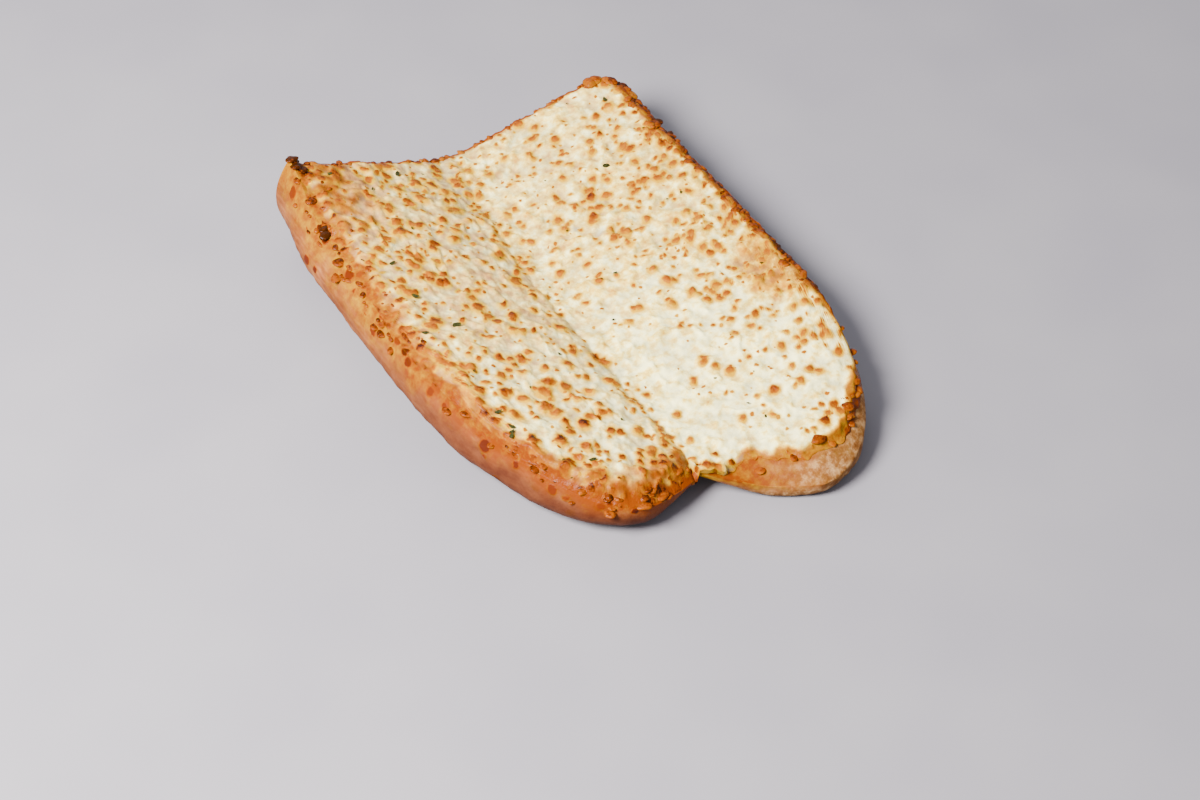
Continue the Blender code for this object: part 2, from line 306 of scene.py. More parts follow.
def place_in_frame(points):
    """Moves an array of points onto the frame, inside the solids' box, in metres."""
    points = (points + np.array(ORIGIN_SHIFT)) * MM
    low, high = (np.array(corner) for corner in CAD_BOX)
    return np.clip(points, low, high)


def put(name, data):
    """Puts a mesh, lamp or camera into the scene as an object."""
    held = bpy.data.objects.new(name, data)
    bpy.context.scene.collection.objects.link(held)
    return held


def finish_piece(name, bm, mat, sharp):
    """Makes a named piece of a bmesh in millimetres, creased past sharp degrees."""
    mesh = bpy.data.meshes.new(name)
    bmesh.ops.recalc_face_normals(bm, faces=bm.faces)
    bm.to_mesh(mesh)
    bm.free()
    points = np.empty(3 * len(mesh.vertices))
    mesh.vertices.foreach_get("co", points)
    placed = place_in_frame(points.reshape(-1, 3))
    mesh.vertices.foreach_set("co", placed.ravel())
    mesh.update()
    mesh.materials.append(mat)
    mesh.shade_smooth()
    mesh.set_sharp_from_angle(angle=math.radians(sharp))
    piece = put(name, mesh)
    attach(piece, "root")
    return piece


# colours and shader nodes
#
# The points carry the finishes' shares: near, how near the middle of a browned
# spot; toast, how dark that spot is, or how thickly spots stand on the crust,
# and in the cheese both also carry painted shade in the hole at the notch;
# gold, fried golden; thin, grey where the cheese is thin and in the
# hollows, with painted shade greying the domed half and the back; pale, a
# lighter or darker gold; floury, dry and dusty; bake, deep brown,
# partly real bake and partly painted shade low on the crust; crumb, torn inside.

# settings for arithmetic, where a held answer stays between 0 and 1
SUM = {"operation": "ADD"}
DIFFERENCE = {"operation": "SUBTRACT"}
RATIO = {"operation": "DIVIDE"}
BELOW = {"operation": "LESS_THAN"}
SMALLER = {"operation": "MINIMUM"}
LARGER = {"operation": "MAXIMUM"}
HELD_LARGER = {"operation": "MAXIMUM", "use_clamp": True}
PRODUCT = {"operation": "MULTIPLY"}
HELD_PRODUCT = {"operation": "MULTIPLY", "use_clamp": True}
LINE = {"operation": "MULTIPLY_ADD"}
HELD_LINE = {"operation": "MULTIPLY_ADD", "use_clamp": True}

# settings, inputs and output for laying one colour over another
LAID = {"data_type": "RGBA"}
STAINED = {"data_type": "RGBA", "blend_type": "MULTIPLY"}
SCORCHED = {"data_type": "RGBA", "blend_type": "DARKEN"}
SHARE, UNDER, OVER = 0, 6, 7
MIXED = 2

CHEESE_TONES = ((0.0, "FAF4B6"), (0.08, "F8ECA0"), (0.2, "E8C964"), (0.4, "C28C1E"),
                (0.6, "A06408"), (0.8, "8A4E00"), (1.0, "7A4200"))
CHEESE_CLOUDS = ((0.36, "C6C5C0"), (0.52, "F2F1EC"), (0.66, "FFFFFF"))
BROWNING = ((0.0, "DAB442"), (0.13, "B88A10"), (0.26, "A07000"), (0.38, "905600"),
            (0.52, "844600"), (0.66, "763800"), (0.82, "5A2404"), (1.0, "2B110A"))
GOLD_TONES = ((0.22, "6A2C00"), (0.5, "7C4A00"), (0.75, "8E6402"), (1.0, "AE8618"))
CRUST_TONES = ((0.32, "68391C"), (0.5, "7E4C2A"), (0.68, "966440"))
CRUST_STREAKS = ((0.38, "FFFFFF"), (0.5, "E6CDB8"), (0.62, "AE8468"))
# deep brown coat: partly real bake, partly painted shade low on the crust
DEEP_BAKE_AND_SHADE_TONES = ((0.35, "442014"), (0.65, "5C321E"))
FLOURY_TONES = ((0.34, "583616"), (0.48, "76502A"), (0.66, "AE8A60"))
CRUST_BROWNING = ((0.0, "965E00"), (0.22, "7C3C00"), (0.42, "682A02"), (0.72, "521C06"),
                  (1.0, "32120A"))
CRUMB_TONES = ((0.3, "D4A864"), (0.46, "ECCB90"), (0.7, "FAE6BC"))
HERB_TONES = ((0.35, "191A0C"), (0.55, "2E2F16"), (0.75, "484526"))
FLOOR_TONES = ((0.35, "7C7A83"), (0.65, "807E86"))
FOOD_IOR = 1.45


def paint(code):
    """Linear colour of an sRGB hex code."""
    parts = [int(code[i:i + 2], 16) / 255.0 for i in (0, 2, 4)]
    return [p / 12.92 if p <= 0.04045 else ((p + 0.055) / 1.055) ** 2.4 for p in parts] + [1.0]


def add(mat, kind, settings=None, inputs=()):
    """Adds a shader node with its settings and what goes into its inputs.

    A node among the inputs stands for its first output.  A ramp's stops are
    (position, hex colour)."""
    node = mat.node_tree.nodes.new("ShaderNode" + kind)
    for key, value in (settings or {}).items():
        if key == "stops":
            stops = node.color_ramp.elements
            while len(stops) < len(value):
                stops.new(1.0)
            for stop, (position, code) in zip(stops, value):
                stop.position = position
                stop.color = paint(code)
        else:
            setattr(node, key, value)
    for key, value in inputs.items() if isinstance(inputs, dict) else enumerate(inputs):
        if isinstance(value, bpy.types.Node):
            value = value.outputs[0]
        if isinstance(value, bpy.types.NodeSocket):
            mat.node_tree.links.new(value, node.inputs[key])
        else:
            node.inputs[key].default_value = value
    return node


def new_material(name, *shares):
    """An empty material, and the outputs of the points' shares that it reads."""
    mat = bpy.data.materials.new(name)
    mat.use_nodes = True
    mat.node_tree.nodes.clear()
    return [mat] + [add(mat, "Attribute", {"attribute_name": share}).outputs["Fac"]
                    for share in shares]


def speckle(mat, size, detail=3.0, rough=0.5, stretch=(1.0, 1.0, 1.0), at=(0.0, 0.0, 0.0)):
    """Uneven grain whose lumps are about size millimetres."""
    place = add(mat, "TexCoord").outputs["Object"]
    turned = add(mat, "Mapping", None, {"Vector": place, "Location": at, "Scale": stretch})
    return add(mat, "TexNoise", None, {"Vector": turned, "Scale": 1.0 / (size * MM),
                                       "Detail": detail, "Roughness": rough})


def golden_crust(mat):
    """Colour of crust and cheese that fried golden together along the shoulder."""
    pale = add(mat, "Attribute", {"attribute_name": "pale"}).outputs["Fac"]
    blotch = add(mat, "Math", LINE, (speckle(mat, 4.0, 5.0, 0.65, at=(0.02, 0.02, 0.06)),
                                     1.6, -0.3))
    lighter = add(mat, "Math", LINE, (pale, 0.3, blotch))
    return add(mat, "ValToRGB", {"stops": GOLD_TONES}, (lighter,))


def round_spots(mat, cell, radius, tone, share, flat):
    """Round spots, one to a cell of cell millimetres, kept by share: browning on the cheese, and
    painted shade in the crumb's pores.
    """
    small, large = radius
    faint, strong = tone
    place = add(mat, "TexCoord").outputs["Object"]
    bent = add(mat, "TexNoise", None, {"Vector": place, "Scale": 1.0 / (1.6 * MM), "Detail": 2.0})
    bent = add(mat, "VectorMath", LINE, (bent.outputs["Color"], (1.3 * MM,) * 3, place))
    cells = add(mat, "TexVoronoi", {"voronoi_dimensions": "2D" if flat else "3D"},
                {"Vector": bent, "Scale": 1.0 / (cell * MM)})
    chance = add(mat, "SeparateColor", None, (cells.outputs["Color"],))
    size = add(mat, "Math", LINE, (chance.outputs["Green"], (large - small) / cell, small / cell))
    away = add(mat, "Math", RATIO, (cells.outputs["Distance"], size))
    core = add(mat, "Math", HELD_LINE, (away, -2.6, 3.0))
    toned = add(mat, "Math", LINE, (chance.outputs["Blue"], strong - faint, faint))
    core = add(mat, "Math", PRODUCT, (core, toned))
    fringe = add(mat, "Math", HELD_LINE, (away, -0.13, 0.24))
    spot = add(mat, "Math", LARGER, (core, fringe))
    kept = add(mat, "Math", BELOW, (chance.outputs["Red"], share))
    return add(mat, "Math", PRODUCT, (spot, kept))


def shade(mat, colour, roughness, relief, strength, depth, fixed):
    """The surface shader, with a relief of depth millimetres, and its output."""
    bump = add(mat, "Bump", None, {"Strength": strength, "Distance": depth * MM, "Height": relief})
    body = add(mat, "BsdfPrincipled", None,
               {"Base Color": colour, "Roughness": roughness, "Normal": bump, **fixed})
    add(mat, "OutputMaterial", None, {"Surface": body})
    return mat


def melted_cheese_material():
    """Low-moisture cheese, melted and grilled: ivory, cloudy and a little oily,
    greyer where it is thin and in the hollows, with painted shade greying the
    domed half and the back, golden at the rims, with brown blisters."""
    mat, near, gold, thin, toast = new_material("grilled_melted_cheese",
                                                "near", "gold", "thin", "toast")
    patchy = add(mat, "Math", DIFFERENCE, (speckle(mat, 4.0, 4.0, 0.6), 0.5))
    patchy = add(mat, "Math", LINE, (patchy, 1.1, gold))
    plain = add(mat, "ValToRGB", {"stops": CHEESE_TONES}, (patchy,))
    cloudy = add(mat, "ValToRGB", {"stops": CHEESE_CLOUDS},
                 (speckle(mat, 6.0, 4.0, 0.6, at=(0.01, 0.02, 0.0)),))
    plain = add(mat, "Mix", STAINED, {SHARE: 0.8, UNDER: plain, OVER: cloudy}).outputs[MIXED]
    # Grey laid over the cheese: greyer where it is thin and in the hollows, and painted shade on
    # the domed half and towards the back.
    grey = add(mat, "Math", PRODUCT, (thin, 0.75))
    plain = add(mat, "Mix", LAID, {SHARE: grey, UNDER: plain, OVER: paint("918E80")})
    fried = add(mat, "Math", HELD_LINE, (gold, 3.0, -1.5))
    plain = add(mat, "Mix", LAID, {SHARE: fried, UNDER: plain.outputs[MIXED],
                                   OVER: golden_crust(mat)}).outputs[MIXED]
    ragged = add(mat, "Math", DIFFERENCE, (speckle(mat, 1.2, 3.0, 0.6), 0.5))
    near = add(mat, "Math", LINE, (ragged, 0.18, near))
    core = add(mat, "Math", HELD_LINE, (near, 5.4, -3.2))
    mottle = add(mat, "Math", LINE, (speckle(mat, 1.1, 3.0, 0.6), 0.9, 0.62))
    core = add(mat, "Math", PRODUCT, (core, add(mat, "Math", PRODUCT, (toast, mottle))))
    fringe = add(mat, "Math", HELD_LINE, (near, 0.55, -0.17))
    fringe = add(mat, "Math", SMALLER, (fringe, 0.17))
    blister = add(mat, "Math", LARGER, (core, fringe))
    flecks = round_spots(mat, 3.6, (0.35, 0.9), (0.25, 0.55),
                         add(mat, "Math", LINE, (gold, 0.55, 0.08)), True)
    browned = add(mat, "Math", HELD_LARGER, (blister, flecks))
    brown = add(mat, "ValToRGB", {"stops": BROWNING}, (browned,))
    shown = add(mat, "Math", HELD_PRODUCT, (browned, 6.0))
    colour = add(mat, "Mix", SCORCHED, {SHARE: shown, UNDER: plain, OVER: brown}).outputs[MIXED]
    gloss = add(mat, "Math", LINE, (speckle(mat, 3.0, 3.0, 0.6), 0.3, 0.14))
    gloss = add(mat, "Math", LINE, (browned, -0.1, gloss))
    relief = add(mat, "Math", LINE, (browned, 0.9, speckle(mat, 1.5, 5.0, 0.6)))
    return shade(mat, colour, gloss, relief, 0.6, 0.5,
                 {"IOR": FOOD_IOR, "Specular IOR Level": 0.08})


def baked_bread_material():
    """Lean wheat dough baked crisp: tan crust with pale streaks and a golden,
    oily shoulder, and deep brown low down, partly real bake and partly painted
    shade; matt cream crumb where the knife went through, with painted shade in
    its pores."""
    mat, toast, gold, crumb, floury, bake = new_material("baked_wheat_crust", "toast", "gold",
                                                         "crumb", "floury", "bake")
    colour = add(mat, "ValToRGB", {"stops": CRUST_TONES},
                 (speckle(mat, 8.0, 5.0, 0.6, (1.0, 0.4, 1.0)),))
    streaks = add(mat, "ValToRGB", {"stops": CRUST_STREAKS},
                  (speckle(mat, 1.8, 4.0, 0.6, (1.0, 0.16, 1.0), (0.04, 0.02, 0.0)),))
    colour = add(mat, "Mix", STAINED, {SHARE: 0.6, UNDER: colour, OVER: streaks}).outputs[MIXED]
    # Deep brown coat low on the crust: partly real bake, partly painted shade.
    deep = add(mat, "ValToRGB", {"stops": DEEP_BAKE_AND_SHADE_TONES},
               (speckle(mat, 5.0, 4.0, 0.6, (1.0, 0.5, 1.0)),))
    dusty = add(mat, "ValToRGB", {"stops": FLOURY_TONES},
                (speckle(mat, 3.6, 6.0, 0.72, at=(0.01, 0.05, 0.0)),))
    for share, coat in ((bake, deep), (floury, dusty), (gold, golden_crust(mat))):
        colour = add(mat, "Mix", LAID, {SHARE: share, UNDER: colour, OVER: coat}).outputs[MIXED]
    browned = round_spots(mat, 5.4, (1.2, 3.0), (0.55, 1.0), toast, False)
    brown = add(mat, "ValToRGB", {"stops": CRUST_BROWNING}, (browned,))
    shown = add(mat, "Math", HELD_PRODUCT, (browned, 4.0))
    colour = add(mat, "Mix", SCORCHED, {SHARE: shown, UNDER: colour, OVER: brown}).outputs[MIXED]
    torn = speckle(mat, 2.6, 5.0, 0.68)
    inside = add(mat, "ValToRGB", {"stops": CRUMB_TONES}, (torn,))
    # Pores of the crumb, sunk in the relief; their darker tan is painted shade.
    shaded_pores = add(mat, "Math", LARGER, (round_spots(mat, 4.6, (0.4, 1.5), (0.3, 0.7), 0.5, False),
                                      round_spots(mat, 1.7, (0.25, 0.75), (0.3, 0.7), 0.9, False)))
    inside = add(mat, "Mix", LAID, {SHARE: shaded_pores, UNDER: inside, OVER: paint("A87A42")})
    colour = add(mat, "Mix", LAID, {SHARE: crumb, UNDER: colour, OVER: inside.outputs[MIXED]})
    shine = add(mat, "Math", LINE, (gold, -0.22, 0.5))
    shine = add(mat, "Math", HELD_LINE, (crumb, 0.3, shine))
    grain = add(mat, "Math", SUM, (speckle(mat, 1.1, 5.0, 0.65), speckle(mat, 4.0, 3.0, 0.5)))
    grain = add(mat, "Math", LINE, (browned, 1.6, grain))
    for form, height in ((shaded_pores, -6.0), (torn, 7.0)):
        form = add(mat, "Math", PRODUCT, (form, crumb))
        grain = add(mat, "Math", LINE, (form, height, grain))
    return shade(mat, colour.outputs[MIXED], shine, grain, 0.5, 0.35,
                 {"IOR": FOOD_IOR, "Specular IOR Level": 0.05})


def dried_herb_material():
    """Dried parsley, soaked in oil: mottled dark olive."""
    mat, = new_material("dried_parsley_flakes")
    colour = add(mat, "ValToRGB", {"stops": HERB_TONES}, (speckle(mat, 0.8, 3.0, 0.6),))
    gloss = add(mat, "Math", LINE, (speckle(mat, 1.0), 0.3, 0.3))
    return shade(mat, colour, gloss, speckle(mat, 0.4), 0.5, 0.1,
                 {"IOR": FOOD_IOR, "Specular IOR Level": 0.03})


def floor_material():
    """Matt pale studio paper."""
    mat, = new_material("matt_studio_paper")
    colour = add(mat, "ValToRGB", {"stops": FLOOR_TONES}, (speckle(mat, 60.0, 2.0, 0.4),))
    even = add(mat, "Math", LINE, (speckle(mat, 30.0), 0.1, 0.7))
    return shade(mat, colour, even, speckle(mat, 2.0), 0.1, 0.1, {"Specular IOR Level": 0.2})


# browned spots

def q_at(x, y):
    """Side and q of a place in plan."""
    valley = along(VALLEY_X, y)
    side = LEFT if x < valley else RIGHT
    return side, (x - valley) / (along(RIM_X[side], y) - valley)


def on_domed_half(x, y):
    """Chance that a spot of the domed half is kept, less by the valley."""
    side, q = q_at(x, y)
    if side == RIGHT or q > 1.0:
        return 0.0
    return 0.6 + 0.4 * ease(q / 0.4)


def on_flat_half(x, y):
    """Chance that a spot of the flat half is kept, less where it stayed white."""
    side, q = q_at(x, y)
    if side == LEFT or q > 1.0:
        return 0.0
    white = ease((0.5 - q) / 0.25) * ease((150.0 - y) / 60.0)
    bare = ease(1.2 - math.hypot(x - 30.0, y - 35.0) / 22.0)
    far = ease((y - 150.0) / 40.0) + 0.8 * ease((70.0 - y) / 50.0)
    keep = (0.6 + 0.4 * ease((q - 0.3) / 0.5)) * (1.0 - 0.8 * white) * (1.0 - 0.6 * bare)
    return max(0.05, keep * (1.0 - 0.35 * far))


def near_rim(side, reach):
    """A rule that keeps spots within reach of a half's rim and lobe."""
    def keep(x, y):
        """Chance that a spot at this place is kept, from none to certain."""
        found, q = q_at(x, y)
        if found != side or q > 1.02:
            return 0.0
        rim = (1.0 - q) * wing_width(side, y)
        lobe = (y - lobe_end(side, min(q, 1.0))) * 0.6
        return ease(1.0 - min(rim, lobe) / reach)
    return keep


def by_crease(x, y):
    """Chance that a spot beside the crease is kept, less at its middle."""
    side, q = q_at(x, y)
    if q > 0.07 or (side == RIGHT and q > 0.025):
        return 0.0
    return 0.25 + 0.75 * ease(abs(y - 88.0) / 45.0 - 0.4)


# seed, count, box in plan, range of radius, range of tone, and the rule that keeps them
STREWN_SPOTS = ((11, 360, (-74, 2, -10, 204), (1.0, 2.4), (0.42, 0.7), on_domed_half),
                (12, 420, (-2, 86, -20, 205), (0.8, 1.85), (0.36, 0.6), on_flat_half),
                (13, 110, (-74, 2, -10, 204), (0.7, 1.1), (0.3, 0.5), on_domed_half),
                (15, 220, (-76, 0, -10, 204), (1.0, 2.4), (0.5, 0.85), near_rim(LEFT, 14.0)),
                (16, 190, (0, 87, -20, 205), (0.9, 2.0), (0.45, 0.75), near_rim(RIGHT, 9.0)),
                (17, 70, (-12, 12, -2, 204), (0.7, 1.7), (0.38, 0.62), by_crease))
# x, y, radius and tone of those that stand out
BIG_BLISTERS = ((-62.8, 31.7, 2.0, 0.8), (-31.0, 37.0, 2.3, 0.85), (-43.6, 31.7, 2.4, 0.75),
                (-38.7, 50.7, 2.0, 0.65), (-28.4, 92.2, 2.2, 0.7), (-24.7, 100.1, 2.0, 0.75),
                (-35.1, 108.0, 2.6, 0.65), (-55.1, 105.4, 2.6, 0.7), (-50.8, 61.4, 1.8, 0.75),
                (-26.7, 57.2, 2.3, 0.6), (33.7, 136.8, 2.2, 0.65), (38.5, 147.2, 2.2, 0.7),
                (60.7, 142.0, 1.8, 0.6), (50.1, 123.4, 1.7, 0.6), (63.0, 184.1, 1.7, 0.6),
                (59.1, 174.5, 1.5, 0.65), (42.5, 20.4, 1.9, 0.65), (22.7, 84.9, 1.7, 0.5),
                (60.0, 92.7, 1.6, 0.6), (-27.5, -3.0, 2.2, 0.8), (50.0, -2.0, 2.0, 0.8))
BURNT_BLISTER = (-69.0, 166.6, 2.6, 1.0)
GREY_PITS = ((24.6, 136.2, 2.2), (31.6, 128.7, 3.0), (37.2, 125.0, 2.2), (59.3, 113.6, 2.0))
GREY_PIT_DEPTH = 0.9
# the hole at the notch, darkened with painted shade, and how deep it is sunk
NOTCH_HOLE = (0.0, 6.0)
NOTCH_HOLE_DEPTH = 2.2
GOLD_PATCH = (73.0, 73.0, 13.0)
SPOT_LEAN = 59.0                           # degrees that the spots' long axes lean, and how
SPOT_LEAN_SPREAD = 60.0                    # far from that they stray
SPOT_FRINGE = 2.8                          # radii to the end of a spot's browning
SPOT_DOME = 1.25                           # radii to the foot of its dome
DOME_HEIGHT = 0.22                         # the dome's height in radii
SMALLEST_DOME = 1.0
FAR_SIDE = Vector((0.52, 0.85))            # the way that the blisters' darker flanks face
SHRED_SEED = 47
SHRED_COUNT = 520
SHRED_BEND = 0.05

# the sheet's edges and lumps
RAGGED = {LEFT: 0.6, RIGHT: 1.0}
EDGE_DROP = 1.6                            # how far the sheet's underside dips at its edge
CHEESE_LUMPS = ((0.9, 14.0, 0.0), (0.85, 6.5, 4.0), (0.6, 3.2, 8.0), (0.25, 1.5, 2.0))


def strewn(seed, count, box, size, tone, keep):
    """Seeded spots: (x, y, radius, tone, long axis, angle)."""
    draw = random.Random(seed)
    spots = []
    while len(spots) < count:
        x = draw.uniform(box[0], box[1])
        y = draw.uniform(box[2], box[3])
        if draw.random() < keep(x, y):
            radius = size[0] + (size[1] - size[0]) * draw.random() ** 1.8
            spots.append((x, y, radius, draw.uniform(*tone), draw.uniform(1.0, 1.45),
                          math.radians(draw.gauss(SPOT_LEAN, SPOT_LEAN_SPREAD))))
    return spots


def cheese_spots():
    """All the cheese's browned spots, the strewn ones first."""
    spots = [spot for batch in STREWN_SPOTS for spot in strewn(*batch)]
    spots += [blister + (1.2, 0.9) for blister in BIG_BLISTERS]
    return spots + [BURNT_BLISTER + (1.0, 0.0)]


def along_and_over(dx, dy, angle):
    """Offsets along a line at this angle, and to its left."""
    return (dx * math.cos(angle) + dy * math.sin(angle),
            dy * math.cos(angle) - dx * math.sin(angle))


class Places:
    """Places sorted by y, so that the few near a spot are found fast."""

    def __init__(self, x, y):
        """Takes the places' x and y as arrays."""
        self.x, self.y = x, y
        self.order = np.argsort(y)
        self.sorted_y = y[self.order]

    def near(self, cx, cy, reach):
        """Indices of the places within reach of a point, and their offsets from it."""
        first, last = np.searchsorted(self.sorted_y, (cy - reach, cy + reach))
        found = self.order[first:last]
        found = found[np.abs(self.x[found] - cx) < reach]
        return found, self.x[found] - cx, self.y[found] - cy


def browning(places, spots):
    """Nearness to a spot, its tone and its blister's height at each place."""
    near, toast, rise = np.zeros((3, len(places.x)))
    for cx, cy, radius, tone, long_axis, angle in spots:
        found, dx, dy = places.near(cx, cy, radius * long_axis * SPOT_FRINGE)
        step, over = along_and_over(dx, dy, angle)
        away = np.hypot(step / long_axis, over) / radius
        crest = np.clip((dx * FAR_SIDE.x + dy * FAR_SIDE.y) / radius, -0.8, 1.0)
        nearness = 1.0 - away / SPOT_FRINGE
        nearer = nearness > near[found]
        near[found[nearer]] = nearness[nearer]
        toast[found[nearer]] = tone * (0.95 + 0.45 * crest[nearer])
        if radius > SMALLEST_DOME:
            dome = np.clip(1.0 - (away / SPOT_DOME) ** 2, 0.0, 1.0)
            rise[found] = np.maximum(rise[found], DOME_HEIGHT * radius * dome)
    return near, toast, rise


def shreds(places):
    """Height left by the shreds of cheese that haven't quite run together."""
    draw = random.Random(SHRED_SEED)
    height = np.zeros(len(places.x))
    for _ in range(SHRED_COUNT):
        cx, cy = draw.uniform(-74.0, 86.0), draw.uniform(-18.0, 205.0)
        angle, half = draw.uniform(0.0, math.pi), draw.uniform(2.0, 8.0)
        width, tall = draw.uniform(0.9, 1.8), draw.uniform(0.25, 0.75)
        found, dx, dy = places.near(cx, cy, half + width)
        step, over = along_and_over(dx, dy, angle)
        over += SHRED_BEND * step * step / half
        away = np.hypot(np.maximum(np.abs(step) - half, 0.0), over) / width
        height[found] = np.maximum(height[found], tall * np.clip(1.0 - away * away, 0.0, 1.0))
    return height


def golden(side, q, x, y, rim, lip, cut):
    """Share of golden colour in the cheese, most where it is thin and near the heat."""
    spot = Vector((x, y, 0.0))
    soft = noise.noise(spot / 7.0)
    if side == LEFT:
        edge = min(rim, lip) + 4.0 * soft
        nearby = ease((85.0 - y) / 50.0)
        tint = (0.55 + 0.12 * nearby) * ease(1.4 - edge / (12.0 + 4.0 * nearby))
        tint = max(tint, ease(1.3 - edge / 5.5))
        tint = max(tint, 0.66 * ease((y - 112.0) / 70.0) * ease(1.2 - rim / 46.0))
        tint = max(tint, 0.13 + 0.17 * ease((y - 50.0) / 60.0))
    else:
        edge = min(rim, (1.3 - 0.7 * ease((q - 0.5) / 0.3)) * lip + 5.0 * ease((0.25 - q) / 0.2))
        edge += 1.8 * soft
        tint = max(ease(1.25 - edge / 4.8),
                   ease(2.0 - (lip + 2.0 * soft) / 3.6) * ease((q - 0.7) / 0.15))
        patch = math.hypot(x - GOLD_PATCH[0], 0.6 * (y - GOLD_PATCH[1]))
        tint = max(tint, 0.48 * ease(1.4 - patch / GOLD_PATCH[2]))
        tint = max(tint, 0.13 * ease((y - 60.0) / 60.0) + 0.08)
    tint = max(tint, 0.75 * ease(1.0 - cut / 4.0))
    tint = min(max(tint * (1.0 + 0.5 * noise.noise(spot / 4.0)), 0.0), 1.0)
    return max(tint, ease(1.3 - cut / 1.2))


def melted_share(side, q, rim, lip, cut, spot):
    """Share of its full thickness that the cheese has: less at its edges, none past them."""
    if side == LEFT:
        edge = min(rim, lip) - (1.6 + 2.4 * noise.noise(spot / 5.0))
        melt = ease(edge / 7.0) + 0.12 * min(edge, 0.0)
    else:
        lobe = lip - 0.8 - 1.4 * noise.noise(spot / 4.0) + 6.0 * ease((0.15 - q) / 0.1)
        melt = min(0.3 + 0.7 * ease(rim / 4.0), ease(lobe / 3.5) + 0.12 * min(lobe, 0.0))
    return min(melt, 0.45 + 0.55 * ease(cut / 4.0))


def edge_finish(side, q, rim, lip, cut, spot):
    """How far the sheet has rolled over its edge, and how it scorched there."""
    rolled = ease(1.5 - cut / 1.3)
    if side == LEFT:
        return rolled, 0.0
    edge = min(rim, 0.8 * lip + 12.0 * ease((0.7 - q) / 0.2)) + 1.6 * noise.noise(spot / 2.6)
    lobe = 0.5 * ease(1.5 - lip / 3.5) * ease((q - 0.6) / 0.2)
    scorched = (0.6 + 0.5 * noise.noise(spot / 1.9)) * ease(1.5 - edge / 3.4)
    return max(rolled, ease(1.5 - edge / 1.6), lobe), scorched


def roll_over(point, side, rim, lip, cut):
    """Moves a point of the sheet's top out over the flat half's rim, lobe and cut."""
    if side == RIGHT:
        over = ease(1.0 - rim / 3.0)
        point.x += over * (1.0 + 1.2 * noise.noise(point / 3.5))
        point.z -= 0.9 * over * over
        front = ease(1.0 - lip / 2.0)
        point.y -= front * (0.5 + 0.8 * noise.noise(point / 3.0))
    back = ease(1.0 - cut / 1.5)
    point.y += 0.8 * back * noise.noise(point / 2.6)


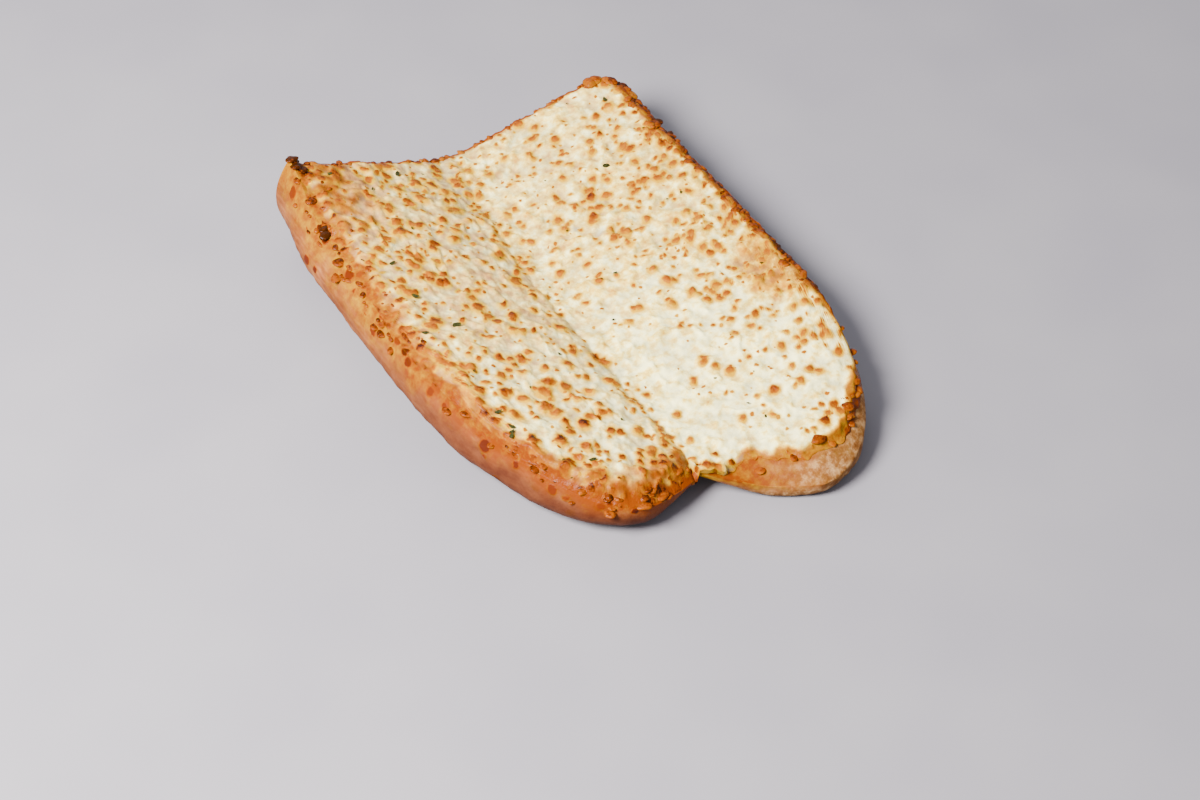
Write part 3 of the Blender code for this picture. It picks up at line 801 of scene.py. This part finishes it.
def make_cheese(mat):
    """The melted sheet: ragged, rolled over the rims, lumpy and blistered."""
    bm = slab(CHEESE_CELLS, CHEESE_ROWS)
    above = [edge for edge in bm.edges if min(v.co.z for v in edge.verts) > 0.5]
    bmesh.ops.subdivide_edges(bm, edges=above, cuts=CHEESE_CUTS, use_grid_fill=True)
    count = len(bm.verts)
    plan_x, plan_y, gold, relief, cover = np.zeros((5, count))
    scorch, leftward, lipped, rolled = np.zeros((4, count))
    for index, vert in enumerate(bm.verts):
        u, v, level = vert.co
        side = LEFT if u < 0.0 else RIGHT
        q = across(abs(u), CHEESE_CELLS)
        begin = lobe_end(side, q) + along(BARE_CRUST[side], q)
        begin += RAGGED[side] * ripple(Vector((60.0 * q * side, 0.0, 5.0)),
                                       (1.5, 4.0, 0.0), (0.8, 1.6, 3.0))
        y = begin + (square_cut(side, q) - begin) * 0.5 * (v + 1.0)
        point = soft_face(side, q, y)
        point.z += CHEESE_GAP
        rim = (1.0 - q) * wing_width(side, y)
        lip = y - begin
        cut = square_cut(side, q) - y
        spot = Vector((point.x, y, 0.0))
        plan_x[index] = point.x + ripple(spot, (0.9, 3.0, 0.0), (0.3, 1.4, 9.0))
        plan_y[index] = y + ripple(spot, (0.9, 3.0, 31.0), (0.3, 1.4, 17.0))
        leftward[index] = ease(0.5 - 12.0 * q * side)
        lipped[index] = 0.7 * ease((0.3 - q) / 0.1) * ease(1.6 - lip / 1.5)
        gold[index] = golden(side, q, point.x, y, rim, lip, cut)
        rolled[index], scorch[index] = edge_finish(side, q, rim, lip, cut, spot)
        melt = melted_share(side, q, rim, lip, cut, spot)
        if level < 0.5:
            point.z -= EDGE_DROP * (1.0 - max(melt, 0.0)) ** 2
        else:
            cover[index] = max(melt, 0.01)
            lumps = ripple(spot, *CHEESE_LUMPS)
            if side == RIGHT:
                beads = max(0.0, 0.3 + noise.noise(spot / 3.4))
                lumps += 1.1 * beads * ease(1.0 - rim / 4.5)
            relief[index] = max(lumps, -1.1) * min(1.0, 0.1 + 1.8 * cover[index])
            point.z += CHEESE_THICKNESS * melt
            roll_over(point, side, rim, lip, cut)
        vert.co = point

    places = Places(plan_x, plan_y)
    near, toast, rise = browning(places, cheese_spots())
    toast = np.where(scorch > near, 0.5 + 0.3 * scorch, toast)
    near = np.maximum(near, scorch)
    relief += (shreds(places) + rise) * np.clip(2.5 * cover, 0.0, 1.0)
    far = np.clip((plan_y - 40.0) / 160.0, 0.0, 1.0)
    # Greyer on the domed half and towards the back: painted shade. Greyer in the hollows between
    # lumps, and in the pits and at the lip, where the cheese is thin.
    thin = 0.22 - 0.45 * relief + (0.4 + 0.12 * far) * leftward + 0.22 * far
    thin = np.clip(thin, 0.0, 1.0) * np.clip(1.0 - 1.3 * gold, 0.0, 1.0)
    thin = np.maximum(thin, lipped)
    # A hole in the cheese at the notch: sunk in the relief, and made dark through near and toast
    # with painted shade.
    shaded_hole = np.clip(1.5 - np.hypot(plan_x - NOTCH_HOLE[0], plan_y - NOTCH_HOLE[1]), 0.0, 1.0)
    toast = np.maximum(toast, shaded_hole)
    near = np.maximum(near, shaded_hole)
    relief -= NOTCH_HOLE_DEPTH * shaded_hole
    for x, y, radius in GREY_PITS:
        sunk = np.clip(1.3 - np.hypot(plan_x - x, plan_y - y) / radius, 0.0, 1.0)
        relief -= GREY_PIT_DEPTH * sunk * (cover > 0.0)
        thin = np.maximum(thin, sunk)
    nearside = np.clip((110.0 - plan_y) / 80.0, 0.0, 1.0)
    pale = np.where(leftward > 0.5, -0.2 - 0.8 * nearside, 0.0) - 1.3 * rolled
    for index, vert in enumerate(bm.verts):
        vert.co.z += relief[index]
    piece = finish_piece("melted_cheese", bm, mat, sharp=70.0)
    for name, values in (("near", near), ("toast", toast), ("gold", gold), ("thin", thin),
                         ("pale", pale)):
        piece.data.attributes.new(name, "FLOAT", "POINT").data.foreach_set("value", values)
    return piece


def bread_row(side, q, t, rounded):
    """The y of a row of the bread, drawn together at the lobe's end."""
    start = lobe_end(side, q)
    roll = min(CRUST_ROLL, 0.5 * (CUT_Y - start))
    end_share = BREAD_END_ROWS / BREAD_ROWS
    if t <= end_share:
        step = t / end_share
        if rounded:
            step = 0.9 * (1.0 - math.cos(0.5 * math.pi * step)) + 0.1 * step
        return start + roll * step
    rest = (t - end_share) / (1.0 - end_share)
    return start + roll + (square_cut(side, q) - start - roll) * rest


def crust_shares(side, y, drop, wave):
    """Shares of the bread's finishes on crust at a drop below the cut face, with painted shade low
    on the crust.
    """
    if side == LEFT:
        # Deep brown: real darker bake at the curled corner; towards the near end and low down by
        # the table, partly real bake and partly painted shade.
        depth = 7.5 + 4.0 * wave + 6.0 * ease((y - 50.0) / 70.0)
        near = ease((150.0 - y) / 100.0) * ease((drop - 2.0) / 8.0)
        near += ease((y - 192.0) / 9.0) * ease(1.6 - drop / 7.0)
        under = ease((drop - 13.0) / 10.0)
        return {"gold": ease(1.3 - drop / depth),
                "pale": 0.1 - 1.2 * ease((125.0 - y) / 90.0),
                "toast": 0.5 * ease(1.25 - drop / (9.0 + 3.0 * wave)) + 0.03,
                "bake": min(1.0, near * (0.95 - 0.3 * under) + 0.3 * under)}
    # Deep brown under the near lobe is painted shade.
    under = ease((drop - 7.0) / 6.0) * ease((60.0 - y) / 30.0)
    return {"gold": ease(1.2 - drop / (5.0 + 2.5 * wave)),
            "pale": 0.5,
            "toast": 0.95 * ease(1.2 - drop / 4.0) * ease((y - 30.0) / 30.0),
            "floury": ease((drop - 3.0) / 5.0) * (1.0 - 0.6 * under),
            "bake": 0.6 * under}


def bare_lobe_shares(q, lip, wave):
    """The shares that differ on top of the flat half, where its lobe is bare."""
    lobe = ease(1.4 - lip / (6.2 + 4.0 * wave)) * ease((q - 0.15) / 0.35)
    return {"pale": -0.35 - 0.4 * ease((0.4 - q) / 0.3),
            "gold": 0.95 - 0.75 * lobe,
            "floury": 0.2 + 0.8 * lobe}


def make_bread(mat):
    """Both halves of the loaf: wrinkled crust, golden shoulder, torn crumb."""
    bm = slab(BREAD_CELLS, BREAD_ROWS)
    wall = [edge for edge in bm.edges
            if edge.verts[0].co.z != edge.verts[1].co.z
            and min(edge.verts[0].co.y, edge.verts[1].co.y) > 0.999]
    bmesh.ops.subdivide_edges(bm, edges=wall, cuts=CRUMB_ROWS, use_grid_fill=True)
    names = ("toast", "gold", "crumb", "floury", "bake", "pale")
    layers = {name: bm.verts.layers.float.new(name) for name in names}
    for vert in bm.verts:
        u, v, level = vert.co
        side = LEFT if u < 0.0 else RIGHT
        t = 0.5 * (v + 1.0)
        q = across(abs(u), BREAD_CELLS)
        y = bread_row(side, q, t, True)
        top = soft_face(side, q, bread_row(side, q, t, False))
        spot = Vector((top.x, y, 12.0 * side))
        fine = 0.0
        if level < 0.5:
            fine = 0.28 * noise.noise(Vector((spot.x / 2.2, spot.y / 8.0, 1.0)))
            fine += ripple(spot, (0.35, 4.0, 0.0), (0.16, 1.5, 5.0))
        low = crust(side, q, y, fine)
        point = low.lerp(top, level)
        drop = cut_face(side, q, y).z - low.z if level < 0.5 else 0.0
        wave = noise.noise(spot / 7.0)
        shares = crust_shares(side, y, drop, wave)
        if side == RIGHT and level > 0.5:
            shares.update(bare_lobe_shares(q, y - lobe_end(side, q), wave))
        if 0.01 < level < 0.99:
            inner = min(level, 1.0 - level) * (top.z - low.z)
            fringe = ease(inner / 1.5) * ease((1.0 - q) * 80.0 / 2.0)
            holes = noise.noise(Vector((point.x, 3.0, point.z)) / 4.5)
            holes += 0.6 * noise.noise(Vector((point.x, 9.0, point.z)) / 2.0)
            point.y += fringe * (1.4 * holes - 0.8 * max(0.0, -holes - 0.15))
            shares["crumb"] = ease((level * (top.z - low.z) - CRUST_WALL) / 1.3)
        for name, share in shares.items():
            vert[layers[name]] = share
        vert.co = point
    weld(bm, 0.004, [layers[name] for name in ("gold", "toast", "floury", "bake", "pale")])
    return finish_piece("baked_loaf", bm, mat, sharp=50.0)


# crisp beads and herb flecks

BEAD_SEED = 5
FINE_BEAD = 1.4                            # beads larger than this have more faces
BEAD_SINK = 0.13
BEAD_KNOBS = ((0.22, 1.2), (0.07, 3.1))    # height and fineness of each kind of knob
FLAT_RIM_Y = (56.0, 199.0)
DOMED_RIM_Y = (97.0, 202.0)
FLAT_LOBE_BEADS = 9
DOMED_LOBE_BEADS = 24
FAR_CORNER_BEADS = 26
CURLED_CORNER_BEADS = 18
CUT_BEADS = ((LEFT, 0.0, 34), (RIGHT, 0.05, 30))     # side, least q and count
# x, y, size and tone of the beads that stand out on the bare lobe and by the notch
LOBE_BEADS = ((20.4, -4.8, 1.9, 0.75), (32.9, -7.3, 1.9, 0.8), (43.9, -6.3, 2.6, 0.8),
              (48.4, -9.3, 1.5, 0.65), (61.4, 0.2, 2.6, 0.85), (59.4, -3.3, 1.8, 0.7),
              (70.4, 8.7, 2.5, 0.75), (67.9, 4.2, 1.9, 0.65), (-5.0, 6.8, 1.5, 0.75),
              (-9.0, 5.6, 1.4, 0.7))
HERB_SEED = 31
HERB_COUNT = 46
HERB_LIFT = 0.65
HERB_THICKNESS = 0.16
# the larger flecks; the others are strewn
HERB_PLACES = ((-57.0, 44.3), (-59.3, 40.4), (-58.3, 42.2), (-58.3, 52.7), (-62.5, 99.9),
               (-48.3, 22.3), (-38.1, 19.0), (-25.4, 191.5), (-54.1, 193.5), (-55.2, 139.6),
               (-55.7, 120.1), (52.1, 158.0), (70.6, 189.5), (-48.8, 100.5))


def below_rim(side, y, drop):
    """Point on the crust at a drop below the rim."""
    share = min(drop / along(LOAF_DEPTH[side], y), 0.9)
    return crust(side, (1.0 - share ** RIM_ROUND) ** (1.0 / RIM_POWER), y)


def below_lobe(side, q, drop):
    """Point on the crust at a drop below the lobe's edge."""
    y = lobe_end(side, q)
    share = min(drop / max(0.1, loaf_thickness(side, q, y + CRUST_ROLL)), 0.9)
    return crust(side, q, y + CRUST_ROLL * (1.0 - (1.0 - share ** END_ROUND) ** (1.0 / END_ROUND)))


def on_top(side, q, y, lift):
    """Point standing by lift on the cheese, or on the crust where there is none."""
    q = min(q, 1.0)
    point = soft_face(side, q, y)
    edge = min((1.0 - q) * wing_width(side, y),
               y - lobe_end(side, q) - along(BARE_CRUST[side], q) - 0.8)
    melted = ease((edge - 1.6) / 7.0) if side == LEFT else ease((edge + 0.5) / 4.0)
    point.z += CHEESE_GAP + CHEESE_THICKNESS * melted + lift
    return point


def make_beads(mat):
    """Crisp beads along the rims, the lobes' edges, the cut and the far corners."""
    draw = random.Random(BEAD_SEED)
    bm = bmesh.new()
    layers = {name: bm.verts.layers.float.new(name) for name in ("near", "toast", "gold", "thin")}
    box = [Vector(corner) / MM - ORIGIN_SHIFT for corner in CAD_BOX]

    def bead(where, size, tone, fine):
        """One crisp, knobbly bead of browned cheese, half sunk where it sits."""
        made = bmesh.ops.create_icosphere(bm, subdivisions=3 if fine else 2, radius=1.0)["verts"]
        offset = Vector([draw.uniform(0, 50) for _ in range(3)])
        turn = Matrix.Rotation(draw.uniform(0.0, math.tau), 3, "Z")
        shape = Vector((draw.uniform(0.95, 1.6), draw.uniform(0.8, 1.15),
                        draw.uniform(0.34, 0.5)))
        room = 1.25 * size
        where = Vector(min(max(w, a + room), b - room) for w, a, b in zip(where, *box))
        where.z -= BEAD_SINK * size
        for vert in made:
            way = vert.co.normalized()
            knobs = 1.0
            for height, fineness in BEAD_KNOBS:
                knobs += height * noise.noise(way * fineness + offset)
            side = turn @ way
            crest = 0.5 * way.z + 0.35 * (side.x * FAR_SIDE.x + side.y * FAR_SIDE.y)
            mottle = 0.2 * noise.noise(way * 1.8 - offset)
            vert.co = turn @ (way * knobs * size * shape) + where
            vert[layers["toast"]] = min(1.0, max(0.2, tone * (0.84 + 0.28 * crest + mottle)))
            vert[layers["near"]] = 1.0
            vert[layers["gold"]] = 1.0

    # the flat half's rim, its lobe and its far corner
    y, last = FLAT_RIM_Y
    while y < last:
        size = 1.1 + 1.4 * draw.random() ** 1.6
        rim = draw.uniform(-0.9, 1.6)
        where = on_top(RIGHT, 1.0 - max(rim, 0.0) / wing_width(RIGHT, y), y, 0.2)
        where.x += max(0.0, -rim)
        bead(where, size, draw.uniform(0.65, 1.05), size > FINE_BEAD)
        if draw.random() < 0.4:
            inside = on_top(RIGHT, 1.0 - draw.uniform(1.5, 5.0) / 84.0, y, 0.0)
            bead(inside, draw.uniform(0.9, 1.9), draw.uniform(0.6, 0.85), False)
        y += draw.uniform(1.0, 2.0)
    for _ in range(FLAT_LOBE_BEADS):
        q = draw.uniform(0.6, 0.998)
        edge = lobe_end(RIGHT, q) + along(BARE_CRUST[RIGHT], q)
        where = on_top(RIGHT, q, edge + draw.uniform(0.5, 7.0), -0.1)
        bead(where, draw.uniform(1.2, 2.2), draw.uniform(0.6, 0.85), True)
    for _ in range(FAR_CORNER_BEADS):
        turned = draw.uniform(0.0, 1.0)
        q = 0.86 + 0.14 * ease(turned * 1.4)
        y = square_cut(RIGHT, q) - 12.0 * turned * turned
        where = on_top(RIGHT, q, y, draw.uniform(-0.3, 1.0))
        bead(where, draw.uniform(1.4, 2.9), draw.uniform(0.4, 1.0), True)

    # the domed half's rim, its lobe and its curled corner
    y, last = DOMED_RIM_Y
    while y < last:
        if draw.random() < 0.4:
            where = below_rim(LEFT, y, 6.0 * draw.random() ** 1.3)
        else:
            where = on_top(LEFT, 1.0 - 10.0 * draw.random() / 68.0, y, -0.2)
        size = 0.8 + 1.5 * draw.random() ** 1.6
        bead(where, size, draw.uniform(0.7, 0.95), size > FINE_BEAD)
        if draw.random() < 0.35:
            beside = where + Vector((draw.uniform(-0.6, 0.6), 1.7 * size, 0.1))
            bead(beside, 0.75 * size, draw.uniform(0.7, 0.95), False)
        y += draw.uniform(1.2, 3.8)
    for _ in range(DOMED_LOBE_BEADS):
        q = draw.uniform(0.1, 0.998)
        where = below_lobe(LEFT, max(q, 0.4), 4.0 * draw.random() ** 1.3)
        if q < 0.4 or draw.random() < 0.6:
            where = on_top(LEFT, q, lobe_end(LEFT, q) + draw.uniform(1.0, 8.0), -0.2)
        size = 0.9 + 1.6 * draw.random() ** 1.6
        bead(where, size, draw.uniform(0.72, 0.95), size > FINE_BEAD)
    for _ in range(CURLED_CORNER_BEADS):
        q = draw.uniform(0.945, 1.0)
        where = on_top(LEFT, q, CUT_Y - draw.uniform(0.0, 6.0), draw.uniform(0.0, 1.3))
        bead(where, draw.uniform(0.8, 1.7), 1.15, True)

    # the edge of the cut, then those that have their own places
    for side, low, count in CUT_BEADS:
        for _ in range(count):
            q = draw.uniform(low, 0.95)
            where = on_top(side, q, square_cut(side, q) - draw.uniform(0.0, 1.4), -0.7)
            bead(where, draw.uniform(0.7, 1.6), draw.uniform(0.5, 0.9), False)
    for x, y, size, tone in LOBE_BEADS:
        bead(on_top(*q_at(x, y), y, -0.2), size, tone, True)
    where = on_top(LEFT, 1.0, BURNT_BLISTER[1], 0.8)
    bead(where, 2.3, 1.3, True)
    bead(where + Vector((0.8, 2.6, 0.6)), 1.7, 1.25, True)
    return finish_piece("crisp_cheese_beads", bm, mat, sharp=180.0)


def make_herbs(mat):
    """Flecks of dried herb, curled and stuck in the cheese."""
    draw = random.Random(HERB_SEED)
    places = list(HERB_PLACES)
    while len(places) < HERB_COUNT:
        x, y = draw.uniform(-70.0, 82.0), draw.uniform(-8.0, 200.0)
        side, q = q_at(x, y)
        if q < 0.97 and y > lobe_end(side, q) + along(BARE_CRUST[side], q) + 2.0:
            places.append((x, y))
    bm = bmesh.new()
    for number, (x, y) in enumerate(places):
        side, q = q_at(x, y)
        size = draw.uniform(1.1, 1.8) if number < len(HERB_PLACES) else draw.uniform(0.35, 0.8)
        made = bmesh.ops.create_circle(bm, cap_ends=True, segments=7, radius=size)["verts"]
        turn = Matrix.Rotation(draw.uniform(0.0, math.tau), 3, "Z")
        tilt = Matrix.Rotation(draw.uniform(-0.35, 0.35), 3, "X")
        where = soft_face(side, q, y)
        where.z += CHEESE_GAP + CHEESE_THICKNESS + HERB_LIFT
        for vert in made:
            jag = 1.0 + draw.uniform(-0.35, 0.35)
            flat = Vector((vert.co.x * jag, vert.co.y * jag * 0.6, 0.12 * draw.uniform(-1.0, 1.0)))
            flat.z += 0.18 * flat.x * flat.x
            vert.co = turn @ (tilt @ flat) + where
    bmesh.ops.solidify(bm, geom=bm.faces[:], thickness=HERB_THICKNESS)
    return finish_piece("herb_flecks", bm, mat, sharp=40.0)


# the studio

AIM = Vector((0.0, 0.0, 0.02))
# name, place, size, power and colour
LAMPS = (("window_side", (-0.64, -0.10, 0.68), 0.42, 52.0, "FFFAF2"),
         ("back_fill", (0.3, 1.1, 0.9), 0.8, 5.0, "F8F9FF"))
AIR_COLOUR = "F2F2F4"
AIR_STRENGTH = 0.8
FLOOR_SIZE = 3.0
CAMERA_PLACE = (-0.39798, -0.61612, 0.70244)
CAMERA_TURN = (44.9858, -2.1576, -31.2067)
CAMERA_LENS = 78.28
CAMERA_SENSOR = 36.0


def studio():
    """Pale floor, soft light from the left, and the photograph's camera."""
    bm = bmesh.new()
    bmesh.ops.create_grid(bm, x_segments=1, y_segments=1, size=FLOOR_SIZE)
    mesh = bpy.data.meshes.new("studio_floor")
    bm.to_mesh(mesh)
    bm.free()
    mesh.materials.append(floor_material())
    floor = put("studio_floor", mesh)

    world = bpy.data.worlds.new("studio_air")
    world.use_nodes = True
    sky = world.node_tree.nodes["Background"]
    sky.inputs["Color"].default_value = paint(AIR_COLOUR)
    sky.inputs["Strength"].default_value = AIR_STRENGTH
    bpy.context.scene.world = world
    for name, place, size, power, colour in LAMPS:
        lamp = bpy.data.lights.new(name, "AREA")
        lamp.shape = "DISK"
        lamp.size = size
        lamp.energy = power
        lamp.color = paint(colour)[:3]
        holder = put(name, lamp)
        holder.location = place
        holder.rotation_euler = (AIM - Vector(place)).to_track_quat("-Z", "Y").to_euler()

    lens = bpy.data.cameras.new("photo_camera")
    lens.sensor_width = CAMERA_SENSOR
    lens.lens = CAMERA_LENS
    camera = put("photo_camera", lens)
    camera.location = CAMERA_PLACE
    camera.rotation_euler = [math.radians(angle) for angle in CAMERA_TURN]
    bpy.context.scene.camera = camera


cheese_look = melted_cheese_material()
loaf = make_bread(baked_bread_material())
cheese = make_cheese(cheese_look)
beads = make_beads(cheese_look)
herbs = make_herbs(dried_herb_material())
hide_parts("bread")
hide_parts("cheese")
studio()
